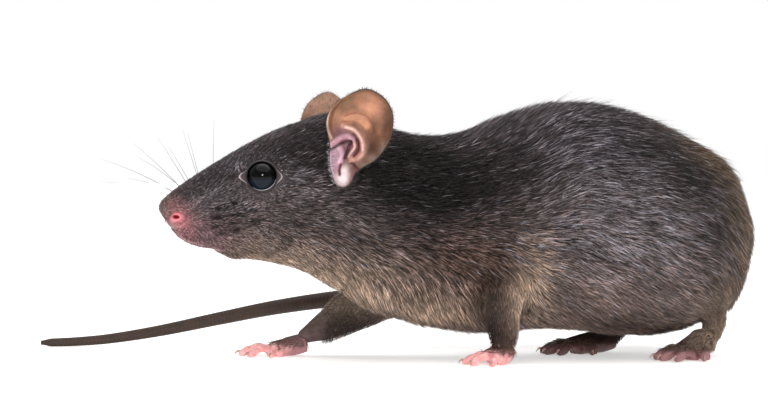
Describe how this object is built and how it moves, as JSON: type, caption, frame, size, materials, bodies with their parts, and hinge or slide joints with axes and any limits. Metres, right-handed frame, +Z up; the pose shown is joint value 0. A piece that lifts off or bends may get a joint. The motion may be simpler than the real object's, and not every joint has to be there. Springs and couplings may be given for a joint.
{
  "type": "roof rat",
  "caption": "Life-size roof rat walking low with its head reached forward and its tail swept along its far side, as a still museum model.",
  "frame": {"origin": "on the floor under the middle of the whole box, tail included", "axes": "-X towards the nose along the body, +Y towards the animal's right side, +Z up"},
  "size_m": [0.1865, 0.0841, 0.0701],
  "materials": {
    "dark_fur": "short dark brown-grey fur, softly glossy along the back",
    "pink_skin": "bare pink skin, finely wrinkled",
    "ear_skin": "thin translucent brown-orange skin",
    "tail_skin": "scaly dark brown skin",
    "wet_eye": "wet black"
  },
  "bodies": {
    "root": {"head": "dark_fur", "neck": "dark_fur", "torso": "dark_fur", "rump": "dark_fur", "eye_left": "wet_eye", "eye_right": "wet_eye", "ear_left": "ear_skin", "ear_right": "ear_skin", "foreleg_left": "dark_fur", "foreleg_right": "dark_fur", "forepaw_left": "pink_skin", "forepaw_right": "pink_skin", "hindleg_left": "dark_fur", "hindleg_right": "dark_fur", "hindfoot_left": "pink_skin", "hindfoot_right": "pink_skin", "tail_1": "tail_skin", "tail_2": "tail_skin", "tail_3": "tail_skin", "tail_4": "tail_skin"}
  },
  "joints": []
}
